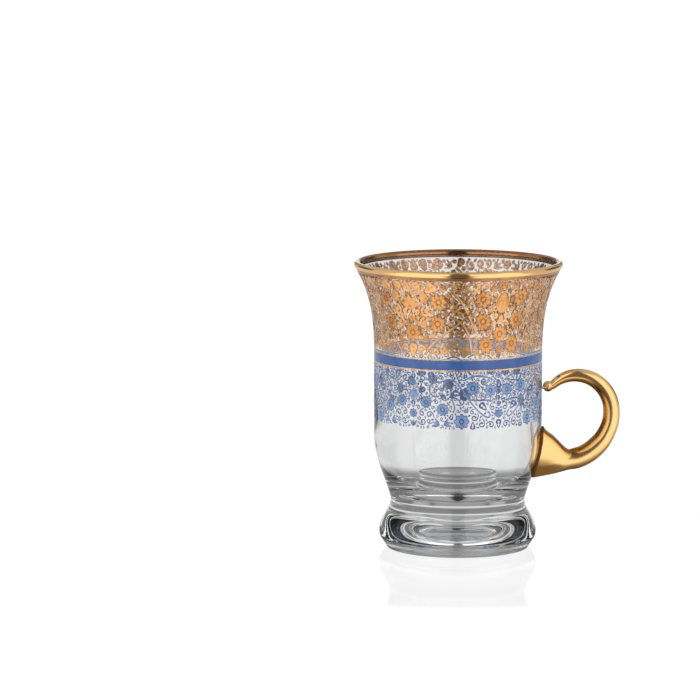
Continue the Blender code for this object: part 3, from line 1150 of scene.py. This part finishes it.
# %% Draw the blue band
blue = Sheet(BLUE_WIDTH, BLUE_HEIGHT, BLUE_GAP, seed=11)
blue.column(0.0, BLUE_FIRST_COLUMN)
blue.column(BLUE_WIDTH, BLUE_LAST_COLUMN)
for corners in BLUE_STEMS:
    points = chain([corners[0]], (*corners[1:], STEM_STEPS))
    path = [Vector(point) for point in points]
    blue.outlined_stem(path, BLUE_STEM, "flowers", "outlines", 0.45)
for placed in BLUE_GROUND:
    blue.place(*placed)
curls = blue.fill(CURLS + CURLS + [TWIN_CURL], 1.6, 0.85)
small = blue.fill(CURLS + [SPRIG], 0.85, 0.5)
leaves = blue.fill([LEAF], 0.5, 0.36)
print(f"blue half repeat: {curls} curls, {small} small ones, {leaves} leaves")

# %% Wrap the blue band
LIFT = 0.012
BLUE_PIECES = (("flowers", "blue_flowers", BLUE_INK, 2),
               ("tendrils", "blue_tendrils", STROKE_BLUE, 1),
               ("outlines", "blue_outlines", NAVY_INK, 0))
for layer, name, finish, level in BLUE_PIECES:
    ink_piece(wrap(blue, layer, BLUE_WIDTH, blue_low.z, LIFT * level), name, finish, "blue_band")

# %% [markdown]
# ### Gold scrollwork
#
# The gold band is the same kind of drawing with the ground almost filled: large rosettes and almond
# shaped medallions, broad tendrils, and the gaps between them stopped with leaves, so that only
# narrow clear lines are left. It has five layers of ink: two shades of outline, the tendrils, the
# flowers, and the pale lines that are drawn inside a medallion.

# %% Motifs of the gold band
BIG = {"flowers": 0.0, "flower_outlines": 0.09}
SCROLL = {"tendrils": 0.0, "tendril_outlines": 0.13}
GOLD_FLOWERS = [Motif(flower(8, 0.34, 0.50), BIG), Motif(flower(10, 0.38, 0.42), BIG)]
GOLD_BLOSSOM = Motif(flower(5, 0.28, 0.84), BIG)
ALMOND = Motif(almond, BIG, almond_heart)
GOLD_PALMETTE = Motif(palmette, BIG)
GOLD_TULIP = Motif(tulip, BIG)
GOLD_CURLS = [Motif(curl(0.62, side, 1.8), SCROLL) for side in (-1, 1)]
GOLD_TWIN = Motif(twin_curl(0.6), SCROLL)
GOLD_SPRIG = Motif(sprig, SCROLL)
GOLD_LEAF = Motif(leaf, SCROLL)
print("a medallion has the layers", ", ".join(ALMOND.data))

# %% Layout of the gold band
LINE_HEIGHT = 0.75
GOLD_BOTTOM = gold_low.z + LINE_HEIGHT
GOLD_HEIGHT = gold_high.z - LINE_HEIGHT - GOLD_BOTTOM
GOLD_MEAN_RADIUS = wall_radius(GOLD_BOTTOM + GOLD_HEIGHT * 0.7)
GOLD_WIDTH = GOLD_MEAN_RADIUS * HALF_ANGLE
GOLD_GAP = 0.1
GOLD_STEM = 0.8
GOLD_FIRST_COLUMN = (
    (GOLD_TWIN, 0, 1.9), (GOLD_FLOWERS[0], HALF_LOBE, 2.9), (GOLD_BLOSSOM, 0, 1.5),
    (GOLD_PALMETTE, 0, 2.9), (GOLD_TWIN, 180, 1.7),
)
GOLD_LAST_COLUMN = (
    (GOLD_TULIP, 0, 1.9), (GOLD_FLOWERS[1], 0, 2.7), (GOLD_TWIN, 180, 1.5), (ALMOND, 0, 3.5),
    (GOLD_BLOSSOM, 0, 1.5),
)
# Stems: start, heading in degrees, length, curvature at both ends, steps.
GOLD_STEMS = (
    ((4.6, 0.6), 66.0, 23.0, -0.10, 0.10, 34), ((13.6, 21.4), -34.0, 17.0, -0.10, 0.06, 28),
    ((20.5, 1.0), 92.0, 15.0, 0.02, 0.16, 24),
)
print(f"half a repeat of gold is {GOLD_WIDTH:.1f} by {GOLD_HEIGHT:.1f} mm")

# %% Draw the gold band
gold = Sheet(GOLD_WIDTH, GOLD_HEIGHT, GOLD_GAP, seed=5)
gold.column(0.0, GOLD_FIRST_COLUMN)
gold.column(GOLD_WIDTH, GOLD_LAST_COLUMN)
for stem in GOLD_STEMS:
    gold.outlined_stem(sweep(*stem), GOLD_STEM, "tendrils", "tendril_outlines", 0.6)
flowers = gold.fill(GOLD_FLOWERS, 3.0, 2.2, most=5)
curls = gold.fill(GOLD_CURLS + GOLD_CURLS + [GOLD_TWIN, GOLD_TULIP, GOLD_PALMETTE], 2.2, 1.1)
small = gold.fill(GOLD_CURLS + [GOLD_LEAF, GOLD_SPRIG, GOLD_BLOSSOM], 1.1, 0.6)
leaves = gold.fill([GOLD_LEAF], 0.6, 0.5)
print(f"gold half repeat: {flowers} flowers, {curls} curls, {small} small ones, {leaves} leaves")

# %% Wrap the gold band
GOLD_PIECES = (("accents", "gold_accents", PALE_GOLD, 4),
               ("flowers", "gold_flowers", WARM_GOLD, 3),
               ("tendrils", "gold_tendrils", PALE_GOLD, 2),
               ("flower_outlines", "gold_flower_outlines", DEEP_GOLD, 1),
               ("tendril_outlines", "gold_tendril_outlines", GOLD_INK, 0))
for layer, name, finish, level in GOLD_PIECES:
    ink_piece(wrap(gold, layer, GOLD_WIDTH, GOLD_BOTTOM, LIFT * level), name, finish, "gold_band")

# %% [markdown]
# ## The plain rings
#
# A blue ring parts the two prints, with a fine gold line on each side of it, and a broader gold
# line closes the gold print under the lip. Each is a thin band turned round the axis.

# %% Turn the rings
FINE_LINE = 0.38
LINE_GAP = 0.12
LINE_OVERLAP = 0.15


def ring_piece(name, bands, finish, node):
    """One piece of plain bands, each given by its lower and its upper height."""
    rings = bmesh.new()
    for low, high in bands:
        heights = np.linspace(high, low, 6)
        outer = [(wall_radius(z) + LIFT, z) for z in heights]
        inner = [(wall_radius(z) + LIFT - PRINT_DEPTH, z) for z in reversed(heights)]
        band = turn(outer + inner, CUP_STEPS, closed=True)
        data = bpy.data.meshes.new("band")
        band.to_mesh(data)
        band.free()
        rings.from_mesh(data)
    finish_piece(rings, name, finish, node, sharp=60.0)


above, below = ring_high.z + LINE_GAP, ring_low.z - LINE_GAP
top_line = (gold_high.z - LINE_HEIGHT + LINE_OVERLAP, BEAD_CENTRE[1] - 0.5)
ring_piece("gold_line", [top_line], GOLD_INK, "gold_band")
ring_piece("fine_lines", [(above, above + FINE_LINE), (below - FINE_LINE, below)], PALE_GOLD,
           "gold_band")
ring_piece("blue_ring", [(ring_low.z, ring_high.z)], RING_BLUE, "blue_stripe")

# %% [markdown]
# ## The studio
#
# Glass and gold show only what they reflect, so the room matters more than the finishes. Behind the
# glass stands a grey wall between two brighter panels, dark gaps beside them draw the dark edges
# that make clear glass readable, and in front two tall soft lights leave a dark slot between them,
# which reaches up overhead and is the dark line down the middle of the gold. All of it is in the
# world shader, as a function of direction: the angle aside from straight behind the glass, and the
# angle up, both in radians. The pale floor glows by zones in the same way, since most of what the
# glass bends towards the eye comes from it. To the camera itself room and floor are plain white, as
# on a light table, and the floor has a faint gloss near the foot.

# %% The room as light
# Zones, by the two angles between which each begins or ends.
WALL_END = (0.2, 0.4)
PANELS_BEGIN, PANELS_END, PANELS_BRIGHTEN = (0.22, 0.4), (0.52, 0.66), (0.3, 0.5)
SIDES_BEGIN, SIDES_END = (1.0, 1.3), (1.9, 2.1)
OVERHEAD_BEGINS = (0.32, 0.5)
FRONT_BEGINS, FRONT_DIMS = (1.75, 1.9), (0.6, 1.2)
SLOT_BEGINS, SLOT_TOP = (2.88, 3.0), (1.2, 1.45)
BACKDROP_END, BACKDROP_TOP = (0.12, 0.16), (0.26, 0.3)
# How bright each zone is.
DARKEST = 0.15
BACK_WALL = 0.34
PANELS, PANELS_HIGH_UP = 0.42, 0.4
SIDES = 0.72
OVERHEAD, OVERHEAD_LOSS_BEHIND = 0.6, 0.9
FRONT, FRONT_LOSS_OVERHEAD = 1.4, 0.9
FEW_BOUNCES = 2.5


def light_room():
    world = bpy.data.worlds.new("studio")
    bpy.context.scene.world = world
    world.use_nodes = True
    graph = Graph(world.node_tree)
    x, y, z = graph.parts(graph.node("TexCoord", output="Generated"))
    aside = x.math("ARCTAN2", x, y).size()
    up = z.math("ARCSINE", z)
    behind = 1.0 - aside.between(*WALL_END)
    slot = aside.between(*SLOT_BEGINS) * (1.0 - up.between(*SLOT_TOP))
    panels = aside.between(*PANELS_BEGIN) * (1.0 - aside.between(*PANELS_END))
    panels = panels * (PANELS + up.between(*PANELS_BRIGHTEN) * PANELS_HIGH_UP)
    sides = aside.between(*SIDES_BEGIN) * (1.0 - aside.between(*SIDES_END)) * SIDES
    overhead = up.between(*OVERHEAD_BEGINS) * (1.0 - behind * OVERHEAD_LOSS_BEHIND)
    overhead = overhead * (1.0 - slot) * OVERHEAD
    front = aside.between(*FRONT_BEGINS) * (1.0 - slot)
    front = front * (FRONT - up.between(*FRONT_DIMS) * FRONT_LOSS_OVERHEAD)
    seen = graph.node("LightPath", output="Is Camera Ray")
    mirrored = graph.node("LightPath", output="Is Glossy Ray")
    mirrored = mirrored * (graph.node("LightPath", output="Ray Depth") < FEW_BOUNCES)
    mirrored = mirrored * (1.0 - aside.between(*BACKDROP_END)) * (1.0 - up.between(*BACKDROP_TOP))
    light = behind * BACK_WALL
    for source in (panels, overhead, sides, front, DARKEST, seen, mirrored):
        light = light.at_least(source)
    background = world.node_tree.nodes["Background"]
    graph.feed(background, {"Color": (1.0, 1.0, 1.0, 1.0), "Strength": light})


light_room()
print("the room is lit")

# %% The floor
FLOOR_SIZE = 40.0
FLOOR_WHITE = 1.05
FLOOR_GLOW, FLOOR_GLOW_IN_FRONT = 0.74, 0.6
FLOOR_FRONT = (1.5, 1.9)
FLOOR_SLOT, SLOT_DEPTH = (2.74, 3.02), 0.9
SHADE_END, SHADE_AT_FOOT = (0.035, 0.10), 0.25
GLOSS_END, GLOSS_SHARE, GLOSS_ROUGHNESS = (0.095, 0.108), 0.17, 0.05


def lay_floor():
    bpy.ops.mesh.primitive_plane_add(size=FLOOR_SIZE, location=AXIS_POINT)
    floor = bpy.context.object
    floor.name = "floor"
    material, graph, _, place = start_finish("pale floor")
    x, y, _ = graph.parts(place)
    away = graph.vector("LENGTH", place, output="Value")
    aside = x.math("ARCTAN2", x, y).size()
    open_floor = FLOOR_GLOW + aside.between(*FLOOR_FRONT) * FLOOR_GLOW_IN_FRONT
    slot = 1.0 - aside.between(*FLOOR_SLOT) * SLOT_DEPTH
    # Painted shadow: the floor's glow is darker near the foot.
    shade = SHADE_AT_FOOT + away.between(*SHADE_END) * (1.0 - SHADE_AT_FOOT)
    share = (1.0 - away.between(*GLOSS_END)) * GLOSS_SHARE
    glow = graph.node("Emission", {}, {"Strength": open_floor * slot * shade})
    white = graph.node("Emission", {}, {"Strength": FLOOR_WHITE})
    gloss = graph.node("BsdfGlossy", {}, {"Roughness": GLOSS_ROUGHNESS})
    table = graph.node("MixShader", {}, {0: share, 1: white, 2: gloss})
    seen = graph.node("LightPath", output="Is Camera Ray")
    whole = graph.node("MixShader", {}, {0: seen, 1: glow, 2: table})
    graph.feed(material.node_tree.nodes["Material Output"], {"Surface": whole})
    floor.data.materials.append(material)


lay_floor()
print("the floor is laid")

# %% [markdown]
# ## The camera
#
# A product photograph is taken from well back with a long lens, a little above the rim, so that the
# mouth shows as a narrow ellipse. The place and lens come from the ellipses of lip and foot.

# %% Set up the camera
CAMERA_ASIDE = -34.5
CAMERA_BACK = -1300.0
CAMERA_HEIGHT = 243.0
CAMERA_TILT = 7.873
LENS = 211.5
SENSOR = 36.0
NEAREST_SEEN = 0.01
camera_data = bpy.data.cameras.new("camera")
camera_data.lens = LENS
camera_data.sensor_width = SENSOR
camera_data.clip_start = NEAREST_SEEN
camera = bpy.data.objects.new("camera", camera_data)
bpy.context.scene.collection.objects.link(camera)
camera.location = Vector((AXIS_X + CAMERA_ASIDE, CAMERA_BACK, CAMERA_HEIGHT)) * MM
camera.rotation_euler = (math.radians(90.0 - CAMERA_TILT), 0.0, 0.0)
bpy.context.scene.camera = camera
bpy.context.scene.view_settings.view_transform = "Standard"
print("camera at", [round(value, 4) for value in camera.location])

# %% Remove meshes that nothing uses, and the end
for data in [mesh for mesh in bpy.data.meshes if mesh.users == 0]:
    bpy.data.meshes.remove(data)
